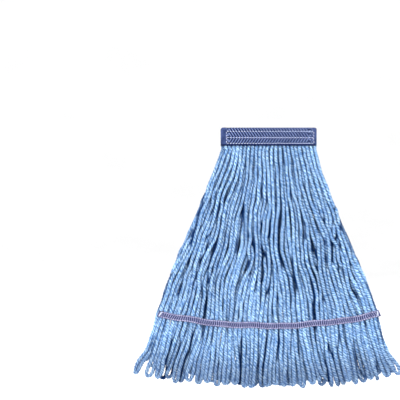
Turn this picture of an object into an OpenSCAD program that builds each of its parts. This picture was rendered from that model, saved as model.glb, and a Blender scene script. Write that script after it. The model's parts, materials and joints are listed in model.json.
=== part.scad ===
// Head of a wet string mop: a skein of yarn folded over and sewn into a headband,
// hanging as a front and a back skirt of strands. A tape band is sewn across each
// skirt, and below it the strands join in pairs as closed loops.
// Millimetres, +Z up. It hangs from its headband and its front faces -Y.
// The origin is the middle of the headband's top edge.

/* [Headband] */
// Length of the headband along X
band_length = 166; // [164:1:190]
// Height of the headband
band_height = 32; // [30:1:45]
// Thickness of the woven tape folded over the yarn
band_tape = 1.6; // [1.3:0.1:2]

/* [Yarn] */
// Strands in each skirt, two to a loop
tail_count = 72; // [60:12:72]
// Diameter of a strand where the headband squeezes it
exit_d = 3.4; // [2.6:0.1:3.6]
// Diameter of a strand at the tail band
strand_d = 5; // [3.6:0.1:5]

/* [Skirts] */
// Width of the row of strands where it leaves the headband
exit_width = 160; // [158:1:161]
// Length of every strand from the headband to the middle of the tail band
skirt_length = 303; // [280:1:340]
// Outward lean of each skirt, in degrees
skirt_lean = 0.94; // [0.9:0.02:1.4]

/* [Tail bands] */
// Width of each tail band from end to end
tail_width = 381; // [375:1:400]
// Height of the tail tape
tail_tape_height = 11; // [10:0.5:12]
// Thickness of the tail tape
tail_tape = 1.2; // [1.1:0.1:1.4]

/* [Loops] */
// Length of yarn along a strand from the headband to the tip of its loop
loop_reach = 411; // [400:1:450]
// Outer width of a loop
loop_width = 14.2; // [13.8:0.1:14.6]
// Outward lean of the loops, in degrees
loop_lean = 1.6; // [1.5:0.1:2]

/* [Seams] */
// Depth of the headband's top seam below its top edge
top_seam = 7; // [6:0.5:9]
// Depth of the headband's middle seam
middle_seam = 18; // [16:0.5:20]
// Depth of the headband's bottom seam
bottom_seam = 28; // [26:0.5:29]
// Place of the seam across the headband's left end
left_seam = -73; // [-78:1:-70]
// Place of the seam across the headband's right end
right_seam = 77; // [70:1:78]
// Width of a seam's thread
thread = 1; // [0.8:0.1:1.2]

/* [Hidden] */
GROUPS = 6;
LAYERS = 3;
FINE = 24;
CURVE_STEPS = 28;

yarn_colour = [0.5, 0.67, 0.88];
tape_colour = [0.27, 0.29, 0.53];
thread_colour = [0.84, 0.85, 0.95];
tail_thread_colour = [0.66, 0.55, 0.76];

// Clearance between pieces that lie against each other
gap = 0.3;

// Layers of strands stacked through each skirt's thickness
exit_layer = 3.4;
tail_layer = 1.7;
exit_half = exit_layer + exit_d / 2;
tail_half = tail_layer + strand_d / 2;

// The yarn inside the headband is squeezed a little more than where it leaves
fold_d = exit_d - 0.2;
exit_y = exit_half + 0.7;
fold_floor = -band_height + gap;

// Half the headband's thickness, and the height where its top fold starts to curve
band_half = exit_y + exit_layer + fold_d / 2 + gap + band_tape;
fold_z = -band_half;

// A skirt turns on a line just under the headband, a fringe of loops on a line
// just under the tail band. The strands stop short of the line, so both can
// turn a quarter turn outward.
skirt_z = -band_height - 6;
fringe_drop = 316;
strand_end = fringe_drop - 5;

loop_r = (loop_width - strand_d) / 2;
loop_layer = 1.25;
loop_splay = 0.6;
ball_extra = 0.08;

// Threads lie flush in grooves that are a little wider and deeper
thread_depth = 0.5;
groove_depth = thread_depth + 0.2;
groove_extra = 0.3;
tail_seam_offset = 3.8;
tack_x = tail_width / 2 - 4;
tack_height = 8.6;
tail_seam_half = tack_x - thread / 2 - gap - groove_extra;

strands_per_group = tail_count / GROUPS;
loops_per_group = strands_per_group / 2;

function numbered(name) = [for (group = [1:GROUPS]) str(name, "_", group)];

// ---- Where each strand runs -------------------------------------------------

// Place of strand k across the mop, from -1 at the left to 1 at the right
function across(k) = (2 * k + 1) / tail_count - 1;
function exit_x(k) = across(k) * exit_width / 2;
function spread(s) = s * (tail_width - exit_width) / 2;
// Angle that a strand fans out by, from straight down
function fan(k) = asin(spread(across(k)) / skirt_length);
function hinge_x(k) = exit_x(k) + fringe_drop * tan(fan(k));
function layer(k) = k % LAYERS - 1;
// Height of the tail band's centre line at x: all strands reach it at one length
function tail_z(x) = -sqrt(skirt_length ^ 2 - spread(2 * x / tail_width) ^ 2);

// ---- Frames ------------------------------------------------------------------

// Each skirt is drawn hanging from its own hinge line, with its outside to -Y
module on_front_skirt() {
    translate([0, -exit_y, skirt_z]) rotate([-skirt_lean, 0, 0]) children();
}

module on_front_fringe() {
    on_front_skirt()
        translate([0, 0, -fringe_drop]) rotate([skirt_lean - loop_lean, 0, 0]) children();
}

module at_back() {
    mirror([0, 1, 0]) children();
}

module on_both_faces() {
    children();
    mirror([0, 1, 0]) children();
}

// ---- Headband ----------------------------------------------------------------

// Cross-section of the folded band, drawn inset from its outside, down to a floor
module band_section(inset, floor_z) {
    half = band_half - inset;
    translate([-half, floor_z]) square([2 * half, fold_z - floor_z]);
    translate([0, fold_z]) circle(r = half, $fn = 96);
}

module band_solid(inset, length, below = 0) {
    translate([-length / 2, 0, 0]) rotate([90, 0, 90])
        linear_extrude(length) band_section(inset, -band_height - below);
}

// Outermost layer of the tape down to a depth
module band_skin(depth) {
    difference() {
        band_solid(0, band_length);
        band_solid(depth, band_length + 2, below = 1);
    }
}

// A straight seam from one corner to the other, on both faces of the headband
module band_seam(x1, x2, z1, z2, depth, extra) {
    intersection() {
        band_skin(depth);
        translate([x1 - extra / 2, -band_half - 1, z1 - extra / 2])
            cube([x2 - x1 + extra, 2 * band_half + 2, z2 - z1 + extra]);
    }
}

module row_seam(z, inset, depth, extra) {
    band_seam(left_seam - thread / 2 + inset, right_seam + thread / 2 - inset,
              -z - thread / 2, -z + thread / 2, depth, extra);
}

module end_seam(x, depth, extra) {
    band_seam(x - thread / 2, x + thread / 2, -bottom_seam + thread / 2 + gap,
              -top_seam - thread / 2 - gap, depth, extra);
}

module headband_tape() {
    color(tape_colour) difference() {
        band_solid(0, band_length);
        band_solid(band_tape, band_length - 2 * band_tape, below = 1);
        row_seam(top_seam, 0, groove_depth, groove_extra);
        row_seam(middle_seam, 0, groove_depth, groove_extra);
        row_seam(bottom_seam, 0, groove_depth, groove_extra);
        end_seam(left_seam, groove_depth, groove_extra);
        end_seam(right_seam, groove_depth, groove_extra);
    }
}

module headband_top_seam() {
    color(thread_colour) row_seam(top_seam, 0, thread_depth, 0);
}

module headband_middle_seam() {
    color(thread_colour) row_seam(middle_seam, thread + gap, thread_depth, 0);
}

module headband_bottom_seam() {
    color(thread_colour) row_seam(bottom_seam, 0, thread_depth, 0);
}

module headband_left_seam() {
    color(thread_colour) end_seam(left_seam, thread_depth, 0);
}

module headband_right_seam() {
    color(thread_colour) end_seam(right_seam, thread_depth, 0);
}

// ---- Yarn --------------------------------------------------------------------

// One strand's bend over the top, inside the headband
module yarn_bend(r) {
    rotate([90, 0, 90]) rotate_extrude(angle = 180, $fn = 48)
        translate([r, 0]) circle(d = fold_d, $fn = FINE);
    for (side = [-1, 1])
        translate([0, side * r, fold_floor - fold_z])
            cylinder(h = fold_z - fold_floor, d = fold_d, $fn = FINE);
}

// The bends of one layer, nested between those of the other layers
module yarn_fold(depth) {
    color(yarn_colour)
        for (k = [depth + 1:LAYERS:tail_count - 1])
            translate([exit_x(k), 0, fold_z]) yarn_bend(exit_y + depth * exit_layer);
}

// A straight strand that thickens from one point to another
module strand_between(a, b, d1, d2) {
    v = b - a;
    translate(a) rotate([0, acos(v.z / norm(v)), atan2(v.y, v.x)])
        cylinder(h = norm(v), d1 = d1, d2 = d2, $fn = FINE);
}

module strand(k) {
    top = [exit_x(k), -layer(k) * exit_layer, 0];
    tail = [exit_x(k) + spread(across(k)), -layer(k) * tail_layer, -skirt_length * cos(fan(k))];
    part = strand_end / -tail.z;
    strand_between(top, top + part * (tail - top), exit_d, exit_d + part * (strand_d - exit_d));
}

module front_strands(group) {
    color(yarn_colour)
        for (i = [0:strands_per_group - 1])
            on_front_skirt() strand((group - 1) * strands_per_group + i);
}

// Two neighbouring strands below the tail band, joined by their loop. A ball, a
// hair wider than the strand, covers the seam between the bend and each leg.
module yarn_loop(j) {
    lean = (fan(2 * j) + fan(2 * j + 1)) / 2;
    x = (hinge_x(2 * j) + hinge_x(2 * j + 1)) / 2;
    half = (hinge_x(2 * j + 1) - hinge_x(2 * j)) * cos(lean) / 2;
    run = loop_reach - loop_r - strand_d / 2 - fringe_drop / cos(lean);
    turn = asin(loop_r / norm([run, half])) - atan(half / run);
    leg = (run - loop_r * sin(turn)) / cos(turn);
    side = 2 * (j % 2) - 1;
    translate([x, -side * loop_layer, 0]) rotate([-side * loop_splay, -lean, 0])
        translate([0, 0, -run]) {
            rotate([90, 0, 0]) rotate([0, 0, 180 - turn])
                rotate_extrude(angle = 180 + 2 * turn, $fn = 48)
                    translate([loop_r, 0]) circle(d = strand_d, $fn = FINE);
            for (leg_side = [0, 1])
                mirror([leg_side, 0, 0])
                    translate([loop_r * cos(turn), 0, loop_r * sin(turn)]) rotate([0, -turn, 0]) {
                        sphere(d = strand_d + 2 * ball_extra, $fn = FINE);
                        translate([0, 0, ball_extra])
                            cylinder(h = leg - ball_extra, d = strand_d, $fn = FINE);
                    }
        }
}

module front_loops(group) {
    color(yarn_colour)
        for (i = [0:loops_per_group - 1])
            on_front_fringe() yarn_loop((group - 1) * loops_per_group + i);
}

// ---- Tail band ---------------------------------------------------------------

// A strip that follows the tail band's curve, offset above it
module tail_strip(offset_z, height, half_length) {
    xs = [for (i = [0:CURVE_STEPS]) half_length * (2 * i / CURVE_STEPS - 1)];
    polygon(concat(
        [for (x = xs) [x, tail_z(x) + offset_z + height / 2]],
        [for (i = [CURVE_STEPS:-1:0]) [xs[i], tail_z(xs[i]) + offset_z - height / 2]]
    ));
}

// A plate from y out to the outside of the tail tape
module tail_plate(depth) {
    translate([0, -tail_half - gap - tail_tape + depth, 0]) rotate([90, 0, 0])
        linear_extrude(depth) children();
}

module tail_row(side, extra) {
    tail_strip(side * tail_seam_offset, thread + extra, tail_seam_half + extra / 2);
}

module tack_pair(extra) {
    for (end = [-1, 1])
        translate([end * tack_x, tail_z(tack_x)])
            square([thread + extra, tack_height + extra], center = true);
}

module tail_tape_face() {
    difference() {
        tail_plate(tail_tape) tail_strip(0, tail_tape_height, tail_width / 2);
        tail_plate(groove_depth) tail_row(1, groove_extra);
        tail_plate(groove_depth) tail_row(-1, groove_extra);
        tail_plate(groove_depth) tack_pair(groove_extra);
    }
}

module front_tail_tape_outer() {
    color(tape_colour) on_front_skirt() tail_tape_face();
}

module front_tail_tape_inner() {
    color(tape_colour) on_front_skirt() mirror([0, 1, 0]) tail_tape_face();
}

module front_tail_seam(side) {
    color(tail_thread_colour)
        on_front_skirt() on_both_faces() tail_plate(thread_depth) tail_row(side, 0);
}

module front_tail_tacks() {
    color(thread_colour) on_front_skirt() on_both_faces() tail_plate(thread_depth) tack_pair(0);
}

// ---- Assembly ----------------------------------------------------------------

headband_tape();
headband_top_seam();
headband_middle_seam();
headband_bottom_seam();
headband_left_seam();
headband_right_seam();
yarn_fold(-1);  // yarn_fold_inner
yarn_fold(0);  // yarn_fold_middle
yarn_fold(1);  // yarn_fold_outer
front_tail_tape_outer();
front_tail_tape_inner();
front_tail_seam(1);  // front_tail_upper_seam
front_tail_seam(-1);  // front_tail_lower_seam
front_tail_tacks();
at_back() front_tail_tape_outer();  // back_tail_tape_outer
at_back() front_tail_tape_inner();  // back_tail_tape_inner
at_back() front_tail_seam(1);  // back_tail_upper_seam
at_back() front_tail_seam(-1);  // back_tail_lower_seam
at_back() front_tail_tacks();  // back_tail_tacks
for (g = [1:GROUPS]) {
    front_strands(g);
    at_back() front_strands(g);
    front_loops(g);
    at_back() front_loops(g);
}
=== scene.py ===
"""A looped-end string mop head: plied yarn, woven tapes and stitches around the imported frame.

Lengths are in metres. The mop hangs from its headband, and its front faces -Y. Across the fan of strands
s runs from -1 at the left to 1 at the right, and u is the way down the strands from where they bend under
the headband. side is -1 for the front half of the yarn and 1 for the back half.
"""
import json
import math
from itertools import product

import bpy
import numpy as np
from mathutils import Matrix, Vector

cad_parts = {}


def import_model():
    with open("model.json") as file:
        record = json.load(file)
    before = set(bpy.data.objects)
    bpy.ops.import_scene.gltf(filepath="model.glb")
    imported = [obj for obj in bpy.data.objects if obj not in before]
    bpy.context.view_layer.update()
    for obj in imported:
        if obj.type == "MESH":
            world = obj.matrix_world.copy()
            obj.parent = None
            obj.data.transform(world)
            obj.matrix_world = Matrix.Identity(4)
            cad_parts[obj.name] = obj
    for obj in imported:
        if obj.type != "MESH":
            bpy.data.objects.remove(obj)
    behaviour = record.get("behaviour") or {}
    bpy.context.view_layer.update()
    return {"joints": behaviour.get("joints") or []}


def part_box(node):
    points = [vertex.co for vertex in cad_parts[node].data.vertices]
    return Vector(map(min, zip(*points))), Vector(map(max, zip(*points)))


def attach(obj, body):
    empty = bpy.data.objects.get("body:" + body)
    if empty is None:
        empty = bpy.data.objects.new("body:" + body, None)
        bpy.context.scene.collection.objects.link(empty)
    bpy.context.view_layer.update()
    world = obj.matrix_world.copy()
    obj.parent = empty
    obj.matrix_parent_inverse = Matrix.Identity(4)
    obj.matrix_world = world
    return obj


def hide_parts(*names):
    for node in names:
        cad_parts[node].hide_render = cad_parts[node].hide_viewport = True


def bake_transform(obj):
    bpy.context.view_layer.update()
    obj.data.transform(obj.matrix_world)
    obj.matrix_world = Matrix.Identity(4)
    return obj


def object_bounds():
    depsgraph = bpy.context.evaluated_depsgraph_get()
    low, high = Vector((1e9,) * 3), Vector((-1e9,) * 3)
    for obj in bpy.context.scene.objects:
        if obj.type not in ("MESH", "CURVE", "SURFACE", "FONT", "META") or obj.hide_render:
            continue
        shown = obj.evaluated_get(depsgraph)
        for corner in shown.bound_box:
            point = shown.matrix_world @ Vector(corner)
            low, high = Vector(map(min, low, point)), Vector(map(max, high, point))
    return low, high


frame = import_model()
FULL_TURN = 2 * math.pi

# ---- Sizes read from the frame ----

BAND_LOW, BAND_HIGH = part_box("headband_tape")
BAND_HALF_LENGTH = BAND_HIGH.x
BAND_HALF_THICK = BAND_HIGH.y
BAND_FLOOR = BAND_LOW.z
BAND_ARC = BAND_HALF_THICK * math.pi / 2  # from its top fold round to its flat side
JOINT_AT = {joint["name"]: joint["pos_m"] for joint in frame["joints"]}
SKIRT_Y, SKIRT_Z = abs(JOINT_AT["front_skirt_swing"][1]), JOINT_AT["front_skirt_swing"][2]
FRINGE_Y, FRINGE_Z = abs(JOINT_AT["front_fringe_swing"][1]), JOINT_AT["front_fringe_swing"][2]
LEAN = math.atan2(FRINGE_Y - SKIRT_Y, SKIRT_Z - FRINGE_Z)
TAIL_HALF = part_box("front_tail_tape_outer")[1].x

# ---- Yarn sizes ----

STRANDS = 72  # on each side
GROUPS = 6  # pieces that a side is divided into
LOOPS = STRANDS // 2
LAYERS = 3  # of strands where they leave the headband
EXIT_HALF = 0.080  # half the width over which they leave it
EXIT_LAYER = 0.0034  # between those layers
EXIT_CLEAR = 0.0012  # kept from the closed ends of the headband
MOUTH_U = -0.007  # start of the strands, inside the headband
SKIRT_LENGTH = 0.303  # down to the middle of the tail band
SPREAD = TAIL_HALF - EXIT_HALF
LOOP_REACH = 0.411  # down to the end of a loop
FRINGE_RISE = 0.0115  # slope at which the fringe stands out
FRINGE_RISE_U = 0.316
YARN_D = 0.0064
SECTION = 15  # points round a strand
RING_STEP = 0.0020  # between rings along a strand
LEVEL_STEP = 0.004  # between levels where strands are settled
LEVELS = np.arange(0.0, 0.4041, LEVEL_STEP)
TAIL_LEVEL = int(round(SKIRT_LENGTH / LEVEL_STEP))
PLIES = 3
PLY_TURN = 0.0155  # length of one turn of the plies
PLY_OFFSET = 0.36  # of a ply's middle, as a share of the yarn's radius
FIBRE_RADIUS = 0.003  # radius at which the speckle is looked up

# ---- Cloth sizes ----

BAND_STRAIGHT_HALF = 0.068  # half of the headband's length at full thickness
BAND_END_POWER = 2.6  # how square its ends are from above
TAPE_THICK = 0.0014
SEAM_DEPTHS = (0.007, 0.018, 0.028)
SEAM_LEFT, SEAM_RIGHT = -0.073, 0.077
SEAM_PINCH = 0.0009  # how far a seam sinks into the headband
SEAM_WIDTH = 0.0016
HEM_DEPTH = 0.0288  # where its plain lower edge begins
TWILL_PITCH = 0.0049
TWILL_LEAN = 0.62  # sideways run of a ridge over its height
TWILL_RELIEF = 0.00045
TAIL_TAPE_HEIGHT = 0.011
TAIL_TAPE_THICK = 0.0010
TAIL_TAPE_FACE = 0.0057  # from the yarn's middle to the tape's outside
TAIL_SEAM_OFFSET = 0.0042
TAIL_STITCHES = 92  # along each seam of a face
TOOTH_PITCH = 0.0036
TACK_X = TAIL_HALF - 0.004


def smooth(t):
    """0 below 0, 1 above 1, an S-curve between."""
    t = np.clip(t, 0.0, 1.0)
    return t * t * (3.0 - 2.0 * t)


def wave(rng, t, length, count=5):
    """A smooth random curve of t, about -1 to 1, with features of that length."""
    total = np.zeros_like(t)
    for _ in range(count):
        rate = FULL_TURN / (length * rng.uniform(0.7, 1.8))
        total += np.sin(t * rate + rng.uniform(0, FULL_TURN))
    return total / math.sqrt(count)


# ---- The fan of strands ----

def strand_s(k):
    """s of strand k where it leaves the headband."""
    return (2 * k + 1) / STRANDS - 1


def exit_out(k):
    """How far out from the middle layer strand k leaves the headband."""
    return (k % LAYERS - 1) * EXIT_LAYER


def fan_angle(s):
    """Angle of the strand at s from straight down."""
    return np.arcsin(np.clip(s * SPREAD / SKIRT_LENGTH, -0.9, 0.9))


def lateral(s, u):
    """Distance across the fan from its middle strand, square to the strands."""
    a = fan_angle(s)
    return EXIT_HALF * 0.5 * (s * np.cos(a) + a * SKIRT_LENGTH / SPREAD) + u * a


S_TABLE = np.linspace(-1.35, 1.35, 541)


def place_of(w, u):
    """s of the strand that is w across the fan at u."""
    return np.interp(w, lateral(S_TABLE, u), S_TABLE)


def end_squeeze(x):
    """How much of its full thickness the headband keeps at x: it closes round its ends."""
    t = np.clip((np.abs(x) - BAND_STRAIGHT_HALF) / (BAND_HALF_LENGTH - BAND_STRAIGHT_HALF), 0.0, 1.0)
    return (1.0 - t ** BAND_END_POWER) ** (1 / BAND_END_POWER)


def world(side, s, u, out):
    """The points at s and u that are out from the middle of that side's yarn."""
    s, u, out = np.broadcast_arrays(s, u, out)
    a = fan_angle(s)
    below = np.maximum(u, 0.0)
    x = s * EXIT_HALF + below * np.sin(a)
    drop = below * np.cos(a)
    rise = FRINGE_RISE * np.maximum(u - FRINGE_RISE_U, 0.0)
    keep = end_squeeze(np.abs(s) * EXIT_HALF + EXIT_CLEAR)
    keep = 1.0 - (1.0 - keep) * smooth(1.0 - below / 0.05)
    y = (SKIRT_Y + out + rise) * keep + drop * math.sin(LEAN)
    z = SKIRT_Z - drop * math.cos(LEAN) - np.minimum(u, 0.0)
    return np.stack([x, side * y, z], axis=-1)


# ---- Where the strands lie ----

# A strand's width and thickness against its diameter: it is pressed where it is sewn.
PRESS_U = (0.0, 0.012, 0.045, 0.15, 0.284, 0.297, 0.309, 0.324)
WIDE = np.interp(LEVELS, PRESS_U, (1.03, 1.02, 1.0, 1.10, 1.14, 1.16, 1.16, 1.14))
THIN = np.interp(LEVELS, PRESS_U, (0.54, 0.60, 0.98, 0.95, 0.93, 0.64, 0.64, 0.93))

# How far the yarn may reach outward and inward from its middle.
BOUND_U = (0.0, 0.010, 0.045, 0.130, 0.270, 0.297, 0.309, 0.335, 0.410)
OUTWARD = (0.0051, 0.0058, 0.0092, 0.0094, 0.0082, 0.0042, 0.0042, 0.0072, 0.0074)
INWARD = (0.0051, 0.0052, 0.0056, 0.0068, 0.0078, 0.0042, 0.0042, 0.0072, 0.0074)
OUT_BOUND = np.interp(LEVELS, BOUND_U, OUTWARD)
IN_BOUND = np.interp(LEVELS, BOUND_U, INWARD)

# How far the outermost strand is drawn in from the fan's straight edge.
EDGE_U = (0.0, 0.045, 0.130, 0.220, 0.300, 0.342)
EDGE_IN = {"left": (-0.0020, -0.0010, -0.0020, -0.0062, -0.0030, 0.0015),
           "right": (-0.0020, 0.0035, 0.0025, -0.0008, 0.0022, 0.0093)}

# How far the outermost loops swing outward, and how wide the front's open loops stand.
FLARE = {"left": 0.0070, "right": 0.0080}
OPEN_LOOPS = {0: 0.0108, 1: 0.0096, 3: 0.0100, 4: 0.0092, LOOPS - 1: 0.0108}
SHUT_GAP = 0.0065, 0.0072
LOOSE_GAP = 0.0080, 0.0098

CLUMPS = (0.110, 0.0056), (0.045, 0.0034), (0.018, 0.0018)  # spacing and pull of each
SWAY = 0.0056  # of the S-bends in the skirt
FRINGE_SWAY = 0.0074
TAIL_OUT = 0.00205  # of the two layers at the tail band
LOOP_OUT, LOOP_IN = 0.0034, -0.0036  # layers of loops in the fringe
CLOSE = 0.985  # share of a diameter that strands keep
ROUNDS = 340
STIFF_ROUNDS = 0.8  # share of the rounds with full stiffness


def edge_limit(u, end):
    """How far across the fan the outermost strand's middle may lie at u, towards that end."""
    return lateral(1.0, u) - YARN_D / 2 - np.interp(u, EDGE_U, EDGE_IN[end])


def outer_swing(u):
    """How free the loops are to swing at u, 0 to 1."""
    return smooth((u - 0.367) / 0.035)


def loop_shapes(rng, side):
    """For each loop of one side: how wide it opens at its end, and how far down it reaches."""
    loose = rng.random(LOOPS) < 0.4
    gap = np.where(loose, rng.uniform(*LOOSE_GAP, LOOPS), rng.uniform(*SHUT_GAP, LOOPS))
    if side > 0:
        gap = np.minimum(gap, SHUT_GAP[1])
    reach = LOOP_REACH + rng.uniform(-0.0050, 0.0025, LOOPS)
    at = (np.arange(LOOPS) + 0.5) / (LOOPS / 2) - 1
    reach += 0.007 * at ** 2 + 0.004 * at ** 8
    reach[[0, -1]] -= 0.007
    if side < 0:
        for j, width in OPEN_LOOPS.items():
            gap[j] = width
    else:
        # The back's loops are a little shorter, most at the left, where the front's stand open.
        reach -= 0.002 + 0.016 * smooth((-at - 0.5) / 0.2)
    return gap, reach


def strand_waves(rng, length):
    """A random curve down each strand, as (level, strand)."""
    return np.stack([wave(rng, LEVELS, length) for _ in range(STRANDS)], axis=1)


def skirt_goals(rng, side):
    """Where one side's strands would like to be: across the fan and out, (level, strand) each."""
    k = np.arange(STRANDS)
    s = strand_s(k)
    u = LEVELS[:, None]
    across = lateral(s[None, :], u)
    room = np.where(s < 0, edge_limit(u, "left"), edge_limit(u, "right"))
    across = across * room / lateral(s[-1], u)

    # Strands draw together into clumps, and each also wanders by itself.
    in_skirt = np.sin(math.pi * np.clip(u / SKIRT_LENGTH, 0, 1) ** 1.15) ** 0.8
    in_fringe = smooth((u - SKIRT_LENGTH) / 0.05)
    clump = np.zeros_like(across)
    for spacing, pull in CLUMPS:
        bend = wave(rng, u, 0.26) * 1.3 + rng.uniform(0, 6.3)
        clump += pull * np.sin(across / spacing * FULL_TURN + bend)
    own = strand_waves(rng, 0.17) * 0.0021
    at_exit = 0.24 * (1 - smooth(u / 0.05))
    across = across + clump * (in_skirt + 0.25 * in_fringe + at_exit)
    across = across + own * (in_skirt + 0.4 * in_fringe + at_exit)

    # Neighbours sway together, in S-bends down the skirt and to one side in the fringe.
    sway = SWAY * np.sin(u / 0.16 * FULL_TURN - 5.0 * s + side) * in_skirt ** 2
    sway = sway + FRINGE_SWAY * np.sin(9.0 * s + 2.0 * side) * smooth((u - 0.314) / 0.080)
    across = across + sway * (1 - s ** 4)

    # Three layers at the headband become two at the tail band, with one strand in three behind.
    behind = np.repeat(rng.integers(0, LAYERS, STRANDS // LAYERS), LAYERS) == k % LAYERS
    tail_out = np.where(behind, -TAIL_OUT, TAIL_OUT)
    share = smooth(u / SKIRT_LENGTH)
    out = exit_out(k) * (1 - share) + tail_out * share
    out = out + strand_waves(rng, 0.24) * 0.0021 * in_skirt
    return across, out


def loop_goals(rng, side, across, out, gap, reach):
    """The same goals with neighbours drawn into loops, two by two, below the tail band."""
    k = np.arange(STRANDS)
    u = LEVELS[:, None]
    loop = k // 2
    which_leg = k % 2 - 0.5
    loop_out = np.where(rng.random(LOOPS) < 0.4, LOOP_IN, LOOP_OUT)[loop]
    ends = smooth((u - 0.308) / 0.05)
    out = out * (1 - ends) + loop_out * ends
    middle = np.repeat((across[:, ::2] + across[:, 1::2]) / 2, 2, axis=1)
    opening = smooth((u - reach[loop] + 0.042) / 0.026)
    width = YARN_D * 1.03 * (1 - opening) + gap[loop] * opening

    # Some of the front's loops twist out of the plane of the fan.
    twisted = rng.random(LOOPS) < 0.4
    twist = np.where(twisted, rng.uniform(-0.9, 0.9, LOOPS), 0.0)
    twist[list(OPEN_LOOPS)] = 0.0
    twist = twist[loop] * smooth((u - 0.36) / 0.04) * (0.0 if side > 0 else 1.0)
    leg = which_leg * width * np.cos(twist)
    out = out + which_leg * width * np.sin(twist)

    swing = outer_swing(u)
    flare = np.where(loop == LOOPS - 1, FLARE["right"], 0.0) - np.where(loop == 0, FLARE["left"], 0.0)
    drift = rng.normal(0, 0.0018, LOOPS)[loop] * swing
    if side > 0:
        flare = flare * 0.0
        drift = drift * 0.3 + 0.003 * ends
    across = across * (1 - ends) + (middle + leg + drift + flare * swing) * ends
    return across, out


def parting(a, b, scale, share):
    """How far b moves away from a where the two overlap, and how much they overlap."""
    apart = (b - a) / scale
    dist = np.sqrt((apart ** 2).sum(-1)) + 1e-9
    short = np.clip(1.0 - dist, 0.0, None)
    return apart / dist[..., None] * short[..., None] * share * scale, short


def push_apart(p, scale, neighbours=14):
    """One pass that moves overlapping strands apart."""
    moved = np.zeros_like(p)
    hits = np.ones(p.shape[:2])
    for step in range(1, neighbours):
        shift, short = parting(p[:, :-step], p[:, step:], scale, 0.5)
        moved[:, step:] += shift
        moved[:, :-step] -= shift
        hit = short > 0
        hits[:, step:] += hit
        hits[:, :-step] += hit
    return moved / np.sqrt(hits)[..., None]


def part_loops(low, scale):
    """One pass that keeps each loop's inside clear of the loops beside it."""
    middle = (low[:, ::2] + low[:, 1::2]) / 2
    moved = np.zeros_like(low)
    count = middle.shape[1]
    for step, leg in product((1, 2), (0, 1)):
        lefts, rights = slice(0, count - step), slice(step, count)
        for mid, other in ((lefts, rights), (rights, lefts)):
            shift, _ = parting(middle[:, mid], low[:, leg::2][:, other], scale, 0.35)
            moved[:, leg::2][:, other] += shift
            moved[:, ::2][:, mid] -= shift
            moved[:, 1::2][:, mid] -= shift
    return moved * 0.5


def goal_pull(u):
    """How firmly strands are held to their goals, across and out. They are sewn at both bands."""
    pull = np.full(len(u), 0.014)
    pull[:2] = 1.0
    pull += 0.25 * np.exp(-((u - SKIRT_LENGTH) / 0.006) ** 2)
    pull += 0.03 * smooth((u - 0.35) / 0.03)
    return pull[:, None, None] * np.array([1.0, 0.6])


def relax(rng, side, gap, reach):
    """Settles one side's strands against each other, as (level, strand, (across, out))."""
    goal = np.stack(loop_goals(rng, side, *skirt_goals(rng, side), gap, reach), axis=-1)
    p = goal.copy()
    scale = np.stack([WIDE, THIN], axis=-1)[:, None, :] * YARN_D * CLOSE
    half_thin = (THIN * YARN_D / 2)[:, None]
    pull = goal_pull(LEVELS)
    loops_from = int(0.365 / LEVEL_STEP)
    swing = outer_swing(LEVELS)
    left = -edge_limit(LEVELS, "left") - FLARE["left"] * swing
    right = edge_limit(LEVELS, "right") + FLARE["right"] * swing
    for n in range(ROUNDS):
        stiff = 0.5 if n < ROUNDS * STIFF_ROUNDS else 0.15
        bend = np.zeros_like(p)
        bend[1:-1] = 0.5 * (p[:-2] + p[2:]) - p[1:-1]
        p += stiff * bend
        p += pull * (goal - p)
        p += push_apart(p, scale)
        p[loops_from:] += part_loops(p[loops_from:], scale[loops_from:])
        p[..., 0] = np.clip(p[..., 0], left[:, None], right[:, None])
        p[..., 1] = np.clip(p[..., 1], -IN_BOUND[:, None] + half_thin, OUT_BOUND[:, None] - half_thin)
    kinks = strand_waves(rng, 0.035) * 0.0005
    p[..., 0] += kinks * smooth(LEVELS / 0.04)[:, None]
    return p


def buried(p, face):
    """How deep each strand lies behind others at each level, 0 to 1, seen from outside the mop (face 1)
    or from inside it (face -1). It sets where the yarn gets painted shade."""
    out = face * p[..., 1]
    apart = np.abs(p[:, :, None, 0] - p[:, None, :, 0])
    cover = out[:, None, :] - 2.5 * np.maximum(apart - 0.0035, 0.0)
    return smooth((cover.max(axis=2) - out) / 0.0058)


def beside(p, end):
    """How closely each strand has another beside it at each level, 0 to 1, on its left (end -1) or its
    right (end 1). It sets the painted shade lines on the strand's flanks."""
    apart = end * (p[:, None, :, 0] - p[:, :, None, 0])
    apart = np.where(apart > 0.0015, apart, 1.0)
    return smooth((0.0125 - apart.min(axis=2)) / 0.005)


# ---- Meshes ----

def unit(vectors):
    """Those vectors, one a row, at length 1."""
    return vectors / np.linalg.norm(vectors, axis=1)[:, None]


def add_object(name, data):
    """A new object in the scene."""
    obj = bpy.data.objects.new(name, data)
    bpy.context.scene.collection.objects.link(obj)
    return obj


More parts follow.
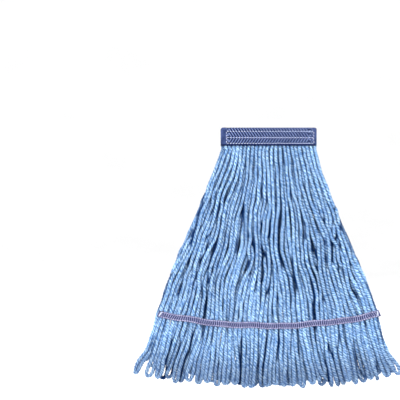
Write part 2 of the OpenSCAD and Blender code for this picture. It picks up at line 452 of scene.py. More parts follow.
def new_object(name, verts, quads, tris=(), uv=None, values=None):
    """A smooth-shaded mesh object. values are per-vertex numbers by name."""
    quads = np.asarray(quads, dtype=np.int32).reshape(-1, 4)
    tris = np.asarray(tris, dtype=np.int32).reshape(-1, 3)
    mesh = bpy.data.meshes.new(name)
    mesh.vertices.add(len(verts))
    mesh.vertices.foreach_set("co", np.asarray(verts, dtype=np.float32).ravel())
    corners = np.concatenate([quads.ravel(), tris.ravel()])
    mesh.loops.add(len(corners))
    mesh.loops.foreach_set("vertex_index", corners)
    sizes = np.repeat(np.array([4, 3], dtype=np.int32), [len(quads), len(tris)])
    mesh.polygons.add(len(sizes))
    mesh.polygons.foreach_set("loop_start", np.cumsum(sizes, dtype=np.int32) - sizes)
    mesh.update(calc_edges=True)
    mesh.polygons.foreach_set("use_smooth", np.ones(len(sizes), dtype=bool))
    if uv is not None:
        layer = mesh.uv_layers.new(name="OFBake")
        layer.data.foreach_set("uv", np.asarray(uv, dtype=np.float32).ravel())
    for key, numbers in (values or {}).items():
        numbers = np.asarray(numbers, dtype=np.float32)
        kind, field = ("FLOAT", "value") if numbers.ndim == 1 else ("FLOAT_VECTOR", "vector")
        mesh.attributes.new(key, kind, "POINT").data.foreach_set(field, numbers.ravel())
    mesh.validate()
    return add_object(name, mesh)


def resample(points, step, extras, parts=8):
    """The curve through points at even steps, with extras (one column each) carried along."""
    data = np.column_stack([points, extras])
    before = np.vstack([2 * data[0] - data[1], data[:-1]])
    after = np.vstack([data[1:], 2 * data[-1] - data[-2]])
    slope = (after - before) / 2
    t = np.linspace(0, 1, parts, endpoint=False)[None, :, None]
    a, b = data[:-1, None, :], data[1:, None, :]
    ma, mb = slope[:-1, None, :], slope[1:, None, :]
    fine = (2 * t ** 3 - 3 * t ** 2 + 1) * a + (t ** 3 - 2 * t ** 2 + t) * ma
    fine = fine + (-2 * t ** 3 + 3 * t ** 2) * b + (t ** 3 - t ** 2) * mb
    fine = np.vstack([fine.reshape(-1, data.shape[1]), data[-1:]])
    run = np.concatenate([[0], np.cumsum(np.linalg.norm(np.diff(fine[:, :3], axis=0), axis=1))])
    count = max(4, int(round(run[-1] / step)) + 1)
    at = np.linspace(0, run[-1], count)
    even = np.column_stack([np.interp(at, run, column) for column in fine.T])
    return even[:, :3], even[:, 3:], at


class Tube:
    """One strand's rings of vertices, and numbers for its material at each."""

    def __init__(self, rings, path, run, **per_vertex):
        self.rings, self.path, self.run = rings, path, run
        self.per_vertex = per_vertex


def tube_faces(rows, section):
    """Quads between a tube's rings, and triangles at its two end points, numbered after the rings."""
    index = np.arange(rows * section).reshape(rows, section)
    nxt = np.roll(index, -1, axis=1)
    quads = np.stack([index[:-1], nxt[:-1], nxt[1:], index[1:]], axis=-1).reshape(-1, 4)
    head, foot = np.full(section, rows * section), np.full(section, rows * section + 1)
    tris = np.concatenate([np.stack([head, nxt[0], index[0]], axis=-1),
                           np.stack([foot, index[-1], nxt[-1]], axis=-1)])
    return quads, tris


def strip_uvs(n, strips, run, longest, section):
    """UVs of the faces of tube n of a piece, in its own upright strip of the square."""
    left, width = (n + 0.06) / strips, 0.88 / strips
    u0 = left + width * np.arange(section) / section
    u1 = left + width * (np.arange(section) + 1) / section
    v = 0.01 + 0.98 * run / longest
    sides = np.empty((len(run) - 1, section, 4, 2))
    for corner, (u, rows) in enumerate(((u0, v[:-1]), (u1, v[:-1]), (u1, v[1:]), (u0, v[1:]))):
        sides[:, :, corner, 0] = u
        sides[:, :, corner, 1] = rows[:, None]
    caps = np.empty((2, section, 3, 2))
    for cap, us, row in zip(caps, ((u1, u0), (u0, u1)), (0, -1)):
        cap[:, 0, 0] = (u0 + u1) / 2
        cap[:, 1, 0], cap[:, 2, 0] = us
        cap[..., 1] = v[row]
    return sides.reshape(-1, 2), caps.reshape(-1, 2)


def yarn_piece(name, tubes):
    """One object from several strands."""
    verts, quads, tris, uvs, cap_uvs = [], [], [], [], []
    values = {key: [] for key in tubes[0].per_vertex}
    start = 0
    longest = max(tube.run[-1] for tube in tubes)
    for n, tube in enumerate(tubes):
        rows, section = tube.rings.shape[:2]
        verts += [tube.rings.reshape(-1, 3), tube.path[:1], tube.path[-1:]]
        tube_quads, tube_tris = tube_faces(rows, section)
        quads.append(tube_quads + start)
        tris.append(tube_tris + start)
        side_uv, cap_uv = strip_uvs(n, len(tubes), tube.run, longest, section)
        uvs.append(side_uv)
        cap_uvs.append(cap_uv)
        for key, numbers in tube.per_vertex.items():
            shape = (rows * section,) + numbers.shape[2:]
            values[key] += [numbers.reshape(shape), numbers[0, :1], numbers[-1, :1]]
        start += rows * section + 2
    values = {key: np.concatenate(parts) for key, parts in values.items()}
    return new_object(name, np.concatenate(verts), np.concatenate(quads), np.concatenate(tris),
                      np.concatenate(uvs + cap_uvs), values)


def sheet_object(name, outer, inner, flip, **values):
    """A closed cloth from an outer and an inner grid of points, joined round the edge. flip
    turns its faces over."""
    way = -1 if flip else 1
    verts = np.concatenate([side[:, ::way].reshape(-1, 3) for side in (outer, inner)])
    grid = np.arange(outer[..., 0].size).reshape(outer.shape[:2])
    face = np.stack([grid[:-1, :-1], grid[:-1, 1:], grid[1:, 1:], grid[1:, :-1]], axis=-1).reshape(-1, 4)
    rim = np.concatenate([grid[0], grid[1:, -1], grid[-1, -2::-1], grid[-2:0:-1, 0]])
    low = rim + grid.size
    edge = np.stack([rim, low, np.roll(low, -1), np.roll(rim, -1)], axis=-1)
    quads = np.concatenate([face, face[:, [0, 3, 2, 1]] + grid.size, edge])
    doubled = {key: np.tile(v[:, ::way].ravel(), 2) for key, v in values.items()}
    return new_object(name, verts, quads, values=doubled)


def thread_bits(name, stitches, radius, lift, sink, rings=7, section=8):
    """Short stitches, each given as its start, its end and the cloth's outward direction. Between the
    two it rises out of the cloth."""
    starts, ends, normals = (np.array(column) for column in zip(*stitches))
    t = np.linspace(0, 1, rings)
    height = -sink + (lift + sink) * np.sin(math.pi * t) ** 0.7
    swell = 0.45 + 0.55 * np.sin(math.pi * np.clip(t * 0.9 + 0.05, 0, 1)) ** 0.5
    along = ends - starts
    path = starts[:, None, :] + along[:, None, :] * t[:, None] + normals[:, None, :] * height[:, None]
    sideways = np.cross(normals, unit(along))
    around = np.arange(section) / section * FULL_TURN
    ring = (sideways[:, None, None, :] * np.cos(around)[:, None]
            + normals[:, None, None, :] * np.sin(around)[:, None])
    verts = path[:, :, None, :] + ring * (radius * swell)[:, None, None]
    count = len(starts)
    caps = np.stack([path[:, 0], path[:, -1]], axis=1)
    verts = np.concatenate([verts.reshape(count, -1, 3), caps], axis=1)
    quads, tris = tube_faces(rings, section)
    base = (np.arange(count) * verts.shape[1])[:, None, None]
    return new_object(name, verts.reshape(-1, 3), quads[None] + base, tris[None] + base)


# ---- Materials ----

class Shader:
    """Short calls for building one node material."""

    def __init__(self, name, roughness, sheen=0.0, sheen_tint=(1, 1, 1, 1)):
        self.material = bpy.data.materials.new(name)
        self.material.use_nodes = True
        self.tree = self.material.node_tree
        self.principled = self.tree.nodes["Principled BSDF"]
        for socket, value in (("Roughness", roughness), ("Sheen Weight", sheen), ("Sheen Roughness", 0.45),
                              ("Sheen Tint", sheen_tint), ("Specular IOR Level", 0.05)):
            self.principled.inputs[socket].default_value = value

    def node(self, kind, **settings):
        made = self.tree.nodes.new(kind)
        for key, value in settings.items():
            setattr(made, key, value)
        return made

    def give(self, socket, given):
        """Sets a socket to a number or a colour, or links another node's output to it."""
        if isinstance(given, (int, float)):
            socket.default_value = given
        elif isinstance(given, tuple):
            socket.default_value = (*given, 1.0)
        elif given is not None:
            self.tree.links.new(given, socket)

    def value(self, name, output="Fac"):
        return self.node("ShaderNodeAttribute", attribute_name=name).outputs[output]

    def stretched(self, name, scale):
        """A vector attribute with its sides scaled."""
        made = self.node("ShaderNodeVectorMath", operation="MULTIPLY")
        self.give(made.inputs[0], self.value(name, "Vector"))
        made.inputs[1].default_value = scale
        return made.outputs[0]

    def math(self, operation, a, b=None, c=None):
        made = self.node("ShaderNodeMath", operation=operation)
        for socket, given in zip(made.inputs, (a, b, c)):
            self.give(socket, given)
        return made.outputs[0]

    def grey(self, value):
        made = self.node("ShaderNodeCombineXYZ")
        for socket in made.inputs:
            self.give(socket, value)
        return made.outputs[0]

    def place(self):
        return self.node("ShaderNodeTexCoord").outputs["Object"]

    def noise(self, vector, scale, detail=2.0, roughness=0.5):
        made = self.node("ShaderNodeTexNoise")
        for socket, given in (("Vector", vector), ("Scale", scale), ("Detail", detail),
                              ("Roughness", roughness)):
            self.give(made.inputs[socket], given)
        return made.outputs["Fac"]

    def ramp(self, fac, stops):
        made = self.node("ShaderNodeValToRGB")
        self.give(made.inputs["Fac"], fac)
        elements = made.color_ramp.elements
        while len(elements) < len(stops):
            elements.new(0.5)
        for element, (position, colour) in zip(elements, stops):
            element.position = position
            element.color = (*colour, 1.0)
        return made.outputs["Color"]

    def mix(self, fac, a, b, blend="MIX"):
        made = self.node("ShaderNodeMix", data_type="RGBA", blend_type=blend)
        for number, given in ((0, fac), (6, a), (7, b)):
            self.give(made.inputs[number], given)
        return made.outputs[2]

    def finish(self, colour, height=None, strength=0.5, distance=0.0004):
        self.give(self.principled.inputs["Base Color"], colour)
        if height is not None:
            bump = self.node("ShaderNodeBump")
            for socket, given in (("Strength", strength), ("Distance", distance), ("Height", height)):
                self.give(bump.inputs[socket], given)
            self.give(self.principled.inputs["Normal"], bump.outputs["Normal"])
        return self.material


# Colours of the plied yarn.
YARN_STOPS = (0.435, (0.060, 0.195, 0.49)), (0.50, (0.245, 0.49, 0.91)), (0.56, (0.54, 0.77, 1.0))
# Painted shade in the valleys between plies.
VALLEY_SHADE = (0.010, 0.050, 0.165)
# Pale fibre flecks on the ply crests, partly a painted highlight.
FIBRE_FLECK_HIGHLIGHT = (0.64, 0.81, 1.0)
LOOP_TIP = (0.20, 0.24, 0.44)
# Painted shade where strands lie behind and beside others, and on their inward sides.
GAP_SHADE = (0.001, 0.022, 0.105)


def yarn_material():
    """Matt plied yarn: pale fibres on each ply's crest that are partly a painted highlight, speckled
    blues, and painted shade between plies and between strands.
    """
    m = Shader("plied_yarn", 0.95, sheen=0.03, sheen_tint=(0.70, 0.86, 1.0, 1.0))
    ridge, tint, deep, tip = (m.value(name) for name in ("ridge", "tint", "deep", "tip"))
    speckle = m.noise(m.stretched("fibre", (1.0, 1.0, 0.62)), 380.0, 3.0, 0.7)
    fibres = m.noise(m.stretched("fibre", (1.0, 1.0, 0.22)), 1500.0, 2.0, 0.6)
    patches = m.noise(m.stretched("fibre", (0.3, 0.3, 1.0)), 45.0, 2.0, 0.5)
    crest = m.math("MULTIPLY_ADD", m.math("POWER", ridge, 0.8), 0.72, 0.28)
    # Painted shade: the valleys between the plies darken to a deep navy.
    body = m.mix(crest, VALLEY_SHADE, m.ramp(speckle, YARN_STOPS))
    # Pale fibre flecks on the crests, partly a painted highlight.
    fleck_highlight = m.math("MULTIPLY", m.math("MULTIPLY", fibres, fibres), m.math("MULTIPLY", crest, 0.5))
    body = m.mix(fleck_highlight, body, FIBRE_FLECK_HIGHLIGHT)
    shade = m.math("MULTIPLY_ADD", patches, 0.4, 0.86)
    shade = m.math("MULTIPLY_ADD", tint, 0.22, shade)
    shade = m.math("MULTIPLY", shade, m.math("MULTIPLY_ADD", tip, -0.36, 1.0))
    body = m.mix(1.0, body, m.grey(shade), blend="MULTIPLY")
    body = m.mix(m.math("MULTIPLY", tip, 0.14), body, LOOP_TIP)
    # Painted shade where the strand lies behind and beside others, and on its inward side.
    body = m.mix(m.math("MULTIPLY", deep, 0.99), body, GAP_SHADE)
    height = m.math("ADD", m.math("MULTIPLY", fibres, 0.8), m.math("MULTIPLY", speckle, 0.5))
    return m.finish(body, height, 0.6, 0.0005)


def twill_material(name, pitch, dark, light, middle):
    """Woven tape: the rib attribute carries the twill's ridges, light thread on dark. Where plain is 1
    the weave is too fine to see, and where hem is 1 the tape is dark along its lower edge."""
    m = Shader(name, 0.9, sheen=0.05, sheen_tint=(0.85, 0.85, 1.0, 1.0))
    rib, plain, hem = (m.value(key) for key in ("rib", "plain", "hem"))
    grain = m.noise(m.place(), 900.0, 2.0, 0.6)
    patches = m.noise(m.place(), 110.0, 3.0, 0.6)
    lit = m.math("MULTIPLY", rib, m.math("MULTIPLY_ADD", patches, 1.3, 0.25))
    woven = m.mix(lit, dark, light)
    soft = m.mix(m.math("MULTIPLY_ADD", patches, 2.4, -0.6), dark, middle)
    colour = m.mix(plain, woven, soft)
    colour = m.mix(hem, colour, dark)
    shade = m.math("MULTIPLY_ADD", grain, 1.0, 0.42)
    colour = m.mix(1.0, colour, m.grey(shade), blend="MULTIPLY")
    return m.finish(colour, grain, 0.5, pitch * 0.08)


def thread_material(name, dark, light):
    """Sewing thread with its own fine twist."""
    m = Shader(name, 0.6, sheen=0.3)
    twist = m.noise(m.place(), 800.0, 2.0, 0.6)
    colour = m.ramp(twist, [(0.40, dark), (0.58, light)])
    return m.finish(colour, twist, 0.4, 0.0002)


YARN = yarn_material()
BAND_CLOTH = twill_material("headband_twill", TWILL_PITCH, dark=(0.006, 0.014, 0.062),
                            light=(0.24, 0.315, 0.60), middle=(0.078, 0.112, 0.28))
TAIL_CLOTH = twill_material("tail_tape_weave", TOOTH_PITCH, dark=(0.008, 0.014, 0.075),
                            light=(0.40, 0.42, 0.68), middle=(0.21, 0.22, 0.40))
WHITE_THREAD = thread_material("white_thread", (0.42, 0.46, 0.66), (0.80, 0.84, 0.98))
LILAC_THREAD = thread_material("lilac_thread", (0.17, 0.16, 0.34), (0.66, 0.64, 0.86))


def dress(obj, material, body, slot, *nodes):
    """Gives a piece its material and body, and hides the CAD nodes that it stands for. slot is not used.
    """
    obj.data.materials.clear()
    obj.data.materials.append(material)
    if body is not None:
        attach(obj, body)
    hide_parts(*nodes)


# ---- Yarn ----

def ply_radius(turn):
    """Outline of a bundle of round plies, as a share of its radius, at angles from between two plies."""
    cell = FULL_TURN / PLIES
    near = turn % cell - cell / 2
    return PLY_OFFSET * np.cos(near) + np.sqrt((1 - PLY_OFFSET) ** 2 - (PLY_OFFSET * np.sin(near)) ** 2)


def fibre_place(around, run, radius, shift):
    """Where a strand's points are in the speckle, which follows its twist."""
    parts = np.cos(around) * radius + shift, np.sin(around) * radius, run[:, None]
    return np.stack([np.broadcast_to(part, (len(run), len(around))) for part in parts], axis=-1)


def strand_tube(rng, side, points, traits, size, turn0, tint):
    """One plied strand along points. The columns of traits are how wide and how thin it is, how buried
    seen from outside and from inside the mop, how near a loop's tip, and how closely others lie beside
    it on its right and its left."""
    path, extra, run = resample(points, RING_STEP, traits)
    wide, thin, outer, inner, tip, right, left = (column[:, None] for column in extra.T)
    tangent = unit(np.gradient(path, axis=0))
    depth = unit(np.array([0.0, 1.0, 0.0]) - tangent[:, 1:2] * tangent)
    across = np.cross(tangent, depth)
    around = np.arange(SECTION) / SECTION * FULL_TURN
    turn_length = PLY_TURN * rng.uniform(0.85, 1.2)
    turn = turn0 + (run / turn_length + 0.22 * wave(rng, run, 0.09, 3)) * FULL_TURN
    slub = 0.045 * wave(rng, run, 0.030, 4) + 0.03 * wave(rng, run, 0.011, 3)
    slub = 1.0 + slub * np.clip(thin[:, 0], 0.3, 1.0)
    outline = ply_radius(around)
    radius = size / 2 * slub[:, None] * outline
    angle = around + turn[:, None]
    ring = (across[:, None, :] * (np.cos(angle) * radius * wide)[..., None]
            + depth[:, None, :] * (np.sin(angle) * radius * thin)[..., None])

    # Valleys between plies, and masks for painted shade: dark where strands lie behind and beside this
    # one, and on the strand's inward-facing side, less so near a loop's tip.
    lowest = ply_radius(np.array(0.0))
    ridge = np.broadcast_to((outline - lowest) / (1 - lowest), angle.shape)
    facing = 0.5 + 0.5 * side * np.sin(angle)
    shade_lines = [np.clip(0.38 + 0.62 * wave(rng, run, 0.16, 3), 0.0, 1.0)[:, None] for _ in range(2)]
    shade_line = np.where(np.cos(angle) > 0, shade_lines[0] * right, shade_lines[1] * left)
    open_end = 1 - 0.8 * tip
    flank_shade = shade_line * np.abs(np.cos(angle)) ** 2.4 + 0.35 * (1 - facing) ** 1.5 * open_end
    deep = np.clip(outer * facing + inner * (1 - facing) * open_end + flank_shade, 0, 1)
    return Tube(path[:, None, :] + ring, path, run, ridge=ridge, deep=deep,
                fibre=fibre_place(around, run, FIBRE_RADIUS, tint * 0.5),
                tint=np.full(angle.shape, tint), tip=np.broadcast_to(tip, angle.shape))


class Side:
    """One side's settled strands, and what each is like."""

    def __init__(self, rng, side):
        self.rng, self.side = rng, side
        gap, self.reach = loop_shapes(rng, side)
        self.p = relax(rng, side, gap, self.reach)
        # Masks for the yarn's painted shade: how buried each strand is, and how closely neighbours lie
        # beside it.
        self.outer, self.inner = buried(self.p, 1), buried(self.p, -1)
        self.left, self.right = beside(self.p, -1), beside(self.p, 1)
        self.tints = rng.random(STRANDS)
        self.sizes = YARN_D * rng.uniform(0.97, 1.11, STRANDS)
        self.turns = rng.uniform(0, FULL_TURN, STRANDS)

    def points(self, k, first, last):
        """Points of strand k from level first to level last."""
        u = LEVELS[first:last + 1]
        across, out = self.p[first:last + 1, k].T
        s = np.array([place_of(w, ui) for w, ui in zip(across, u)])
        return world(self.side, s, u, out)

    def traits(self, k, rows, right, left):
        """What strand_tube needs to know of strand k at those levels."""
        tip = smooth((LEVELS[rows] - 0.345) / 0.05)
        return np.column_stack([WIDE[rows], THIN[rows], self.outer[rows, k], self.inner[rows, k], tip,
                                right[rows, k], left[rows, k]])

    def tube(self, k, points, traits, size):
        return strand_tube(self.rng, self.side, points, traits, size, self.turns[k], self.tints[k])

    def skirt_tube(self, k):
        """Strand k from inside the headband to the middle of the tail band."""
        mouth = np.array([MOUTH_U, MOUTH_U / 2])
        top = world(self.side, np.full(2, strand_s(k)), mouth, np.full(2, exit_out(k)))
        points = np.vstack([top, self.points(k, 0, TAIL_LEVEL)])
        traits = self.traits(k, [0, 0, *range(TAIL_LEVEL + 1)], self.right, self.left)
        return self.tube(k, points, traits, self.sizes[k])

    def loop_tube(self, j):
        """Two neighbouring strands from the tail band down, joined by a round bend."""
        a, b = 2 * j, 2 * j + 1
        half_gap = max(np.linalg.norm(self.p[-1, b] - self.p[-1, a]) / 2, YARN_D / 2)
        last = int(round((self.reach[j] - half_gap * 1.25 - YARN_D / 2) / LEVEL_STEP))
        last = min(last, len(LEVELS) - 1)
        leg_a, leg_b = (self.points(k, TAIL_LEVEL, last) for k in (a, b))
        down = (leg_a[-1] - leg_a[-3]) + (leg_b[-1] - leg_b[-3])
        down /= np.linalg.norm(down)
        middle, half = (leg_a[-1] + leg_b[-1]) / 2, (leg_a[-1] - leg_b[-1]) / 2
        depth = self.reach[j] - YARN_D / 2 - LEVELS[last]
        theta = np.linspace(0, math.pi, 9)[1:-1, None]
        bend = middle + half * np.cos(theta) + down * depth * np.sin(theta)
        rows = list(range(TAIL_LEVEL, last + 1))
        outer, inner = ((face[last, a] + face[last, b]) / 2 for face in (self.outer, self.inner))
        # The bend keeps the painted-shade masks of the legs' ends, with a half-strength shade line on its
        # right flank.
        traits = np.vstack([self.traits(a, rows, self.right, self.left),
                            np.tile((1.0, 1.0, outer, inner, 1.0, 0.5, 0.0), (len(theta), 1)),
                            self.traits(b, rows, self.left, self.right)[::-1]])
        points = np.vstack([leg_a, bend, leg_b[::-1]])
        return self.tube(a, points, traits, (self.sizes[a] + self.sizes[b]) / 2)


def make_side(rng, side, word):
    """One side's yarn: the skirt's strands and the looped fringe."""
    yarn = Side(rng, side)
    skirts = np.array_split([yarn.skirt_tube(k) for k in range(STRANDS)], GROUPS)
    fringes = np.array_split([yarn.loop_tube(j) for j in range(LOOPS)], GROUPS)
    for g in range(GROUPS):
        skirt = yarn_piece(f"{word}_yarn_{g + 1}", skirts[g])
        dress(skirt, YARN, None, "yarn", f"{word}_strands_{g + 1}")
        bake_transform(skirt)
        fringe = yarn_piece(f"{word}_looped_ends_{g + 1}", fringes[g])
        dress(fringe, YARN, None, "yarn", f"{word}_loops_{g + 1}")
        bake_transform(fringe)


def fold_tube(points, keep, section=8, step=0.004):
    """A plain squeezed strand in a plane of constant x, its thickness cut to that share."""
    path, _, run = resample(points, step, np.zeros((len(points), 1)))
    across = np.array([[1.0, 0.0, 0.0]])
    depth = np.cross(unit(np.gradient(path, axis=0)), across)
    around = np.arange(section) / section * FULL_TURN
    radius = YARN_D / 2 * 0.92
    ring = (across[:, None, :] * (np.cos(around) * radius * WIDE[0])[:, None]
            + depth[:, None, :] * (np.sin(around) * radius * THIN[0] * keep)[:, None])
    shape = (len(run), section)
    # The folded yarn gets an even painted shade of 0.3.
    return Tube(path[:, None, :] + ring, path, run, ridge=np.full(shape, 0.6), deep=np.full(shape, 0.3),
                fibre=fibre_place(around, run, radius, 0.0), tint=np.full(shape, 0.5), tip=np.zeros(shape))


def make_folds():
    """The yarn inside the headband, bent over in three nested layers."""
    theta = np.linspace(0, math.pi, 13)
    legs = np.linspace(SKIRT_Z - MOUTH_U, -BAND_HALF_THICK, 6)[:-1]
    for layer, word in enumerate(("inner", "middle", "outer")):
        tubes = []
        for k in range(layer, STRANDS, LAYERS):
            x = strand_s(k) * EXIT_HALF
            keep = float(end_squeeze(abs(x) + EXIT_CLEAR))
            lift = SKIRT_Y + exit_out(k)
            r = lift * keep
            z = -BAND_HALF_THICK + lift * np.sin(theta)
            bend = np.stack([np.full(len(theta), x), -r * np.cos(theta), z], axis=-1)
            front = np.stack([np.full(len(legs), x), np.full(len(legs), -r), legs], axis=-1)
            tubes.append(fold_tube(np.vstack([front, bend, front[::-1] * (1, -1, 1)]), keep))
        piece = yarn_piece(f"folded_yarn_{word}", tubes)
        dress(piece, YARN, "headband", "yarn", f"yarn_fold_{word}")


# ---- Headband ----

def band_surface(x, v, inset):
    """Points of the headband at x (along) and v (down from its top fold, negative in front), inset
    from its outside, and how deep they are below its top."""
    x, v = np.broadcast_arrays(x, v)
    front = np.where(v < 0, -1.0, 1.0)
    down = np.abs(v)
    turn = np.clip(down / BAND_ARC, 0, 1) * math.pi / 2
    below = np.maximum(down - BAND_ARC, 0.0)
    shoulder = np.clip((np.abs(x) - (BAND_HALF_LENGTH - 0.005)) / 0.005, 0, 1)
    drop = 0.004 * (1 - np.sqrt(np.clip(1 - shoulder ** 2, 0, 1)))
    depth = BAND_HALF_THICK * (1 - np.cos(turn)) + below
    pinch = np.zeros_like(depth)
    for seam in SEAM_DEPTHS:
        pinch += SEAM_PINCH * np.exp(-((depth - seam) / SEAM_WIDTH) ** 2)
    inside = (x > SEAM_LEFT - 0.001) & (x < SEAM_RIGHT + 0.001)
    pinch = np.where(inside, pinch, pinch * 0.25)
    for seam_x in (SEAM_LEFT, SEAM_RIGHT):
        pinch += SEAM_PINCH * np.exp(-((x - seam_x) / SEAM_WIDTH) ** 2) * (depth > 0.006)
    reach = BAND_HALF_THICK - inset - pinch
    y = reach * np.sin(np.where(below > 0, math.pi / 2, turn)) ** 0.85 * end_squeeze(x)
    z = -BAND_HALF_THICK + reach * np.cos(turn) - below
    z = z - drop * np.clip(1 - depth / 0.02, 0, 1)
    return np.stack([x, front * y, z], axis=-1), depth


def chevron(x, depth):
    """Height of the twill's ridges, 0 to 1: they lean one way above the middle seam and back below it."""
    shift = -np.abs(depth - SEAM_DEPTHS[1]) * TWILL_LEAN
    return smooth((np.cos((x - shift) / TWILL_PITCH * FULL_TURN) - 0.12) / 0.7)


def grid_normals(grid):
    """Unit normals of a grid of points, pointing away from its middle."""
    n = np.cross(np.gradient(grid, axis=0), np.gradient(grid, axis=1))
    n /= np.linalg.norm(n, axis=-1)[..., None] + 1e-12
    away = np.stack([np.zeros_like(grid[..., 0]), grid[..., 1], grid[..., 2] + 0.02], axis=-1)
    flip = np.where((n * away).sum(-1) < 0, -1.0, 1.0)
    return n * flip[..., None]


def make_headband():
    """The woven tape folded over the yarn, closed round its ends."""
    turn = np.linspace(0, math.pi / 2, 12)
    ends = BAND_STRAIGHT_HALF + (BAND_HALF_LENGTH - BAND_STRAIGHT_HALF) * np.sin(turn) ** 0.8
    straight = np.linspace(-BAND_STRAIGHT_HALF, BAND_STRAIGHT_HALF, 223)
    x = np.concatenate([-ends[:0:-1], straight, ends[1:]])[:, None]
    length = BAND_ARC + (-BAND_HALF_THICK - BAND_FLOOR)
    v = np.linspace(-length, length, 107)[None, :]
    outer, depth = band_surface(x, v, 0.0)
    inner, _ = band_surface(x * (1 - TAPE_THICK / BAND_HALF_LENGTH), v, TAPE_THICK)
    rib = chevron(x, depth)
    plain = 1 - smooth((x - SEAM_LEFT) / 0.003 + 0.5) * smooth((SEAM_RIGHT - x) / 0.003 + 0.5)
    plain = np.broadcast_to(plain, rib.shape)
    outer = outer + grid_normals(outer) * (TWILL_RELIEF * (rib - 1) * (1 - 0.6 * plain))[..., None]
    hem = smooth((depth - HEM_DEPTH) / 0.0008)
    cloth = sheet_object("headband_cloth", outer, inner, True, rib=rib, plain=plain, hem=hem)
    dress(cloth, BAND_CLOTH, "headband", "headband_tape", "headband_tape")


def surface_point(x, depth, face):
    """Point and normal on the headband's outside at a depth below its top."""
    v = BAND_HALF_THICK * math.acos(max(0.0, 1 - depth / BAND_HALF_THICK))
    if depth > BAND_HALF_THICK:
        v = v + depth - BAND_HALF_THICK
    here, ahead, back = (band_surface(x, face * (v + near), 0.0)[0] for near in (0.0, 0.0004, -0.0004))
    along = ahead - back
    normal = np.array([0.0, -along[2], along[1]])
    normal /= np.linalg.norm(normal)
    return here, normal if normal[1] * face >= 0 else -normal


def make_band_seam(rng, which, x0, x1, d0, d1):
    """One seam of the headband, front and back, from one corner to the other."""
    count = int(round((abs(x1 - x0) + abs(d1 - d0)) / TWILL_PITCH))
    stitches = []
    for face, a in product((-1, 1), np.arange(count) / count):
        wobble = rng.normal(0, 0.00018, 2)
        pair = []
        for q in (a + 0.2 / count, a + 0.2 / count + 0.6 / count):
            x = x0 + (x1 - x0) * q + (0 if x1 != x0 else wobble[0])
            depth = d0 + (d1 - d0) * q + (0 if d1 != d0 else wobble[1])
            pair.append(surface_point(x, depth, face))
        (start, normal), (end, end_normal) = pair
        stitches.append((start, end, (normal + end_normal) / 2))
    piece = thread_bits(f"headband_{which}_stitches", stitches, 0.00056, lift=0.00045, sink=0.0005)
    dress(piece, WHITE_THREAD, "headband", "white_thread", f"headband_{which}_seam")


# ---- Tail bands ----

def tail_point(side, face, s, offset, out):
    """A point on the tail band: s across, offset above its middle line, out from the yarn's middle.
    The band was sewn by eye, so it isn't quite true."""
    wander = 0.0007 * np.sin(11 * s + 1.0 + side) + 0.0005 * np.sin(23 * s + 2.0)
    return world(side, s, SKIRT_LENGTH - offset + wander, face * out)


def tail_relief(phase, s, offset):
    """How far the tape stands out over the strands and sinks at its seams."""
    w = s * TAIL_HALF
    bumps = 0.00022 * np.cos(w / 0.0079 * FULL_TURN + phase) * np.cos(w / 0.031 + phase * 2)
    seams = 0.00032 * (np.exp(-((offset - TAIL_SEAM_OFFSET) / 0.0011) ** 2)
                       + np.exp(-((offset + TAIL_SEAM_OFFSET) / 0.0011) ** 2))
    return bumps - seams


def make_tail_tapes(side, word, phase):
    """The tapes outside and inside the yarn, with teeth along their middle."""
    s, offset = np.meshgrid(np.linspace(-1, 1, 529),
                            np.linspace(-TAIL_TAPE_HEIGHT / 2, TAIL_TAPE_HEIGHT / 2, 13), indexing="ij")
    lean = 0.3 * np.sin(s * 23 + phase)
    rib = smooth(np.cos((s * TAIL_HALF + lean * offset) / TOOTH_PITCH * FULL_TURN) / 0.9)
    plain = np.maximum(smooth((np.abs(offset) - 0.0028) / 0.0006),
                       smooth((np.abs(s) * TAIL_HALF - TACK_X) / 0.001))
    hem = smooth((-offset - 0.0046) / 0.0005)
    relief = tail_relief(phase, s, offset) + 0.00018 * (rib - 0.5) * (1 - plain)
    for face, which in ((1, "outer"), (-1, "inner")):
        outside = tail_point(side, face, s, offset, TAIL_TAPE_FACE + relief)
        inside = tail_point(side, face, s, offset, TAIL_TAPE_FACE - TAIL_TAPE_THICK + relief)
        tape = sheet_object(f"{word}_tail_band_{which}", outside, inside, side * face > 0,
                            rib=rib, plain=plain, hem=hem)
        dress(tape, TAIL_CLOTH, f"{word}_skirt", "tail_tape", f"{word}_tail_tape_{which}")


def make_tail_seams(rng, side, word, phase):
    """The slanted stitches along both edges of the tapes."""
    edge = (TACK_X - 0.0015) / TAIL_HALF
    for row, which in ((1, "upper"), (-1, "lower")):
        stitches = []
        for face, n in product((1, -1), range(TAIL_STITCHES)):
            a = -edge + 2 * edge * (n + 0.05) / TAIL_STITCHES
            b = a + 2 * edge * 0.8 / TAIL_STITCHES
            off = row * TAIL_SEAM_OFFSET + rng.normal(0, 0.00012)
            start, end = (tail_point(side, face, q, o, TAIL_TAPE_FACE + tail_relief(phase, q, o))
                          for q, o in ((a, off - 0.0005), (b, off + 0.0005)))
            stitches.append((start, end, (0.0, side * face, 0.0)))
        piece = thread_bits(f"{word}_tail_stitches_{which}", stitches, 0.00085, lift=0.0004, sink=0.0004)
        dress(piece, LILAC_THREAD, f"{word}_skirt", "tail_thread", f"{word}_tail_{which}_seam")


def make_tail_tacks(side, word):
    """Two white bars across each end of the tapes."""
    stitches = []
    lean = 0.0009 / TAIL_HALF
    for face, end, bar in product((1, -1), (-1, 1), (-0.5, 0.5)):
        q = end * TACK_X / TAIL_HALF + bar * 0.0011 / TAIL_HALF
        low, high = (tail_point(side, face, q + way * lean, way * 0.0044, TAIL_TAPE_FACE - 0.0001)
                     for way in (-1, 1))
        stitches.append((low, high, (0.0, side * face, 0.0)))
    piece = thread_bits(f"{word}_tail_end_tacks", stitches, 0.0007, lift=0.0009, sink=0.0004, rings=11)
    dress(piece, WHITE_THREAD, f"{word}_skirt", "white_thread", f"{word}_tail_tacks")


# ---- Studio ----

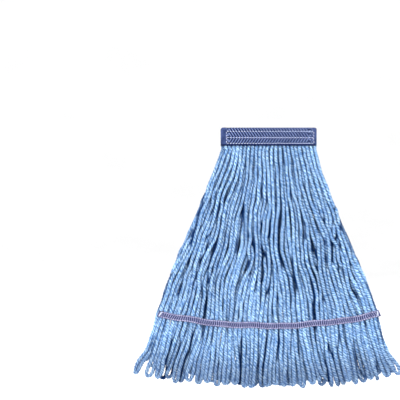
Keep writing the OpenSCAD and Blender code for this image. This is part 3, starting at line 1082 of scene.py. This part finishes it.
def make_floor(sides=64):
    """A pale floor that curves up all round far away."""
    mesh = bpy.data.meshes.new("studio_floor")
    rise = np.linspace(0.1, math.pi / 2, 10)
    flat = [0.02, 0.5, 1.5, 3.0, 5.0]
    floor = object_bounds()[0].z - 0.070
    ring_r = np.concatenate([flat, 5.0 + 3.0 * np.sin(rise)])
    ring_z = np.concatenate([np.zeros(len(flat)), 3.0 * (1 - np.cos(rise))]) + floor
    around = np.arange(sides) / sides * FULL_TURN
    verts = [(r * math.cos(a), r * math.sin(a), z) for r, z in zip(ring_r, ring_z) for a in around]
    faces = tube_faces(len(ring_r), sides)[0].tolist()
    faces.append(list(range(sides))[::-1])
    mesh.from_pydata(verts, [], faces)
    mesh.polygons.foreach_set("use_smooth", [True] * len(faces))
    paint = Shader("floor_paint", 0.9)
    grain = paint.noise(paint.place(), 3.0, 2.0, 0.5)
    colour = paint.ramp(grain, [(0.3, (0.90, 0.90, 0.90)), (0.7, (0.93, 0.93, 0.93))])
    mesh.materials.append(paint.finish(colour))
    stage = add_object("studio_floor", mesh)


# Each light's name, place, power and size.
LIGHTS = (("key", (-1.4, -1.8, 1.9), 46, 1.0), ("fill", (2.2, -2.0, 0.6), 14, 1.8),
          ("back_key", (1.4, 1.8, 1.9), 46, 1.0), ("back_fill", (-2.0, 2.0, 0.6), 14, 1.8))


def make_lights():
    """A white surround, and a strong and a weak soft light both in front and behind."""
    surround = bpy.data.worlds.new("studio_light")
    bpy.context.scene.world = surround
    surround.use_nodes = True
    background = surround.node_tree.nodes["Background"].inputs
    background["Color"].default_value = (1.0, 1.0, 1.0, 1.0)
    background["Strength"].default_value = 1.08
    for name, place, power, size in LIGHTS:
        lamp = bpy.data.lights.new(name, "AREA")
        lamp.energy = power
        lamp.size = size
        holder = add_object(name, lamp)
        holder.location = place
        holder.rotation_mode = "QUATERNION"
        aim = np.array([0.0, 0.0, -0.2]) - np.array(place)
        holder.rotation_quaternion = Vector(aim).to_track_quat("-Z", "Y")


def make_camera():
    """Level, in front of the mop and a little to its left."""
    camera = bpy.data.cameras.new("camera")
    camera.sensor_width = 36.0
    camera.lens = 130.4
    holder = add_object("camera", camera)
    holder.location = (-0.1184, -2.5, -0.1253)
    holder.rotation_euler = (math.pi / 2, 0.0, 0.0)
    bpy.context.scene.camera = holder
    bpy.context.scene.view_settings.view_transform = "Standard"


rng_front, rng_back, rng_cloth = (np.random.default_rng(seed) for seed in (11, 23, 5))
make_folds()
make_side(rng_front, -1, "front")
make_side(rng_back, 1, "back")
make_headband()
for name, deep in zip(("top", "middle", "bottom"), SEAM_DEPTHS):
    make_band_seam(rng_cloth, name, SEAM_LEFT, SEAM_RIGHT, deep, deep)
for name, along in (("left", SEAM_LEFT), ("right", SEAM_RIGHT)):
    make_band_seam(rng_cloth, name, along, along, SEAM_DEPTHS[0], SEAM_DEPTHS[-1])
for side, word in ((-1, "front"), (1, "back")):
    phase = rng_cloth.uniform(0, 6.3)
    make_tail_tapes(side, word, phase)
    make_tail_seams(rng_cloth, side, word, phase)
    make_tail_tacks(side, word)
make_floor()
make_lights()
make_camera()
